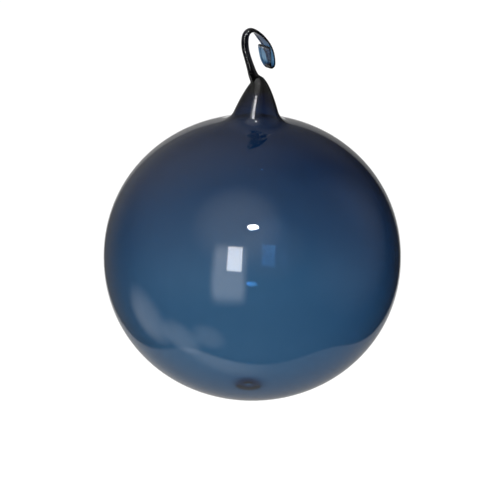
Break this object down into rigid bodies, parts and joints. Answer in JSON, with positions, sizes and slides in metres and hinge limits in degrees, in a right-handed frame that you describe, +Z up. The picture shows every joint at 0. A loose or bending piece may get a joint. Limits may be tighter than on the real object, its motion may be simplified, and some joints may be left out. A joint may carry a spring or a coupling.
{
  "type": "glass christmas bauble",
  "caption": "Hand-blown blue glass ball with a leaning drawn neck and a thin glass hook whose flattened tip curls back on itself.",
  "frame": {"origin": "the inside top of the hook's bend, where the bauble hangs from a thread, wire or twig", "axes": "+Z up along the hanging line through the middle of the ball, +X in the plane of the hook from its stem towards the curled tip"},
  "size_m": [0.1194, 0.1194, 0.1518],
  "materials": {
    "blue_glass": "clear glass coloured grey blue all through, fire-polished and smooth"
  },
  "bodies": {
    "root": {"glass_bauble": "blue_glass"}
  },
  "joints": []
}
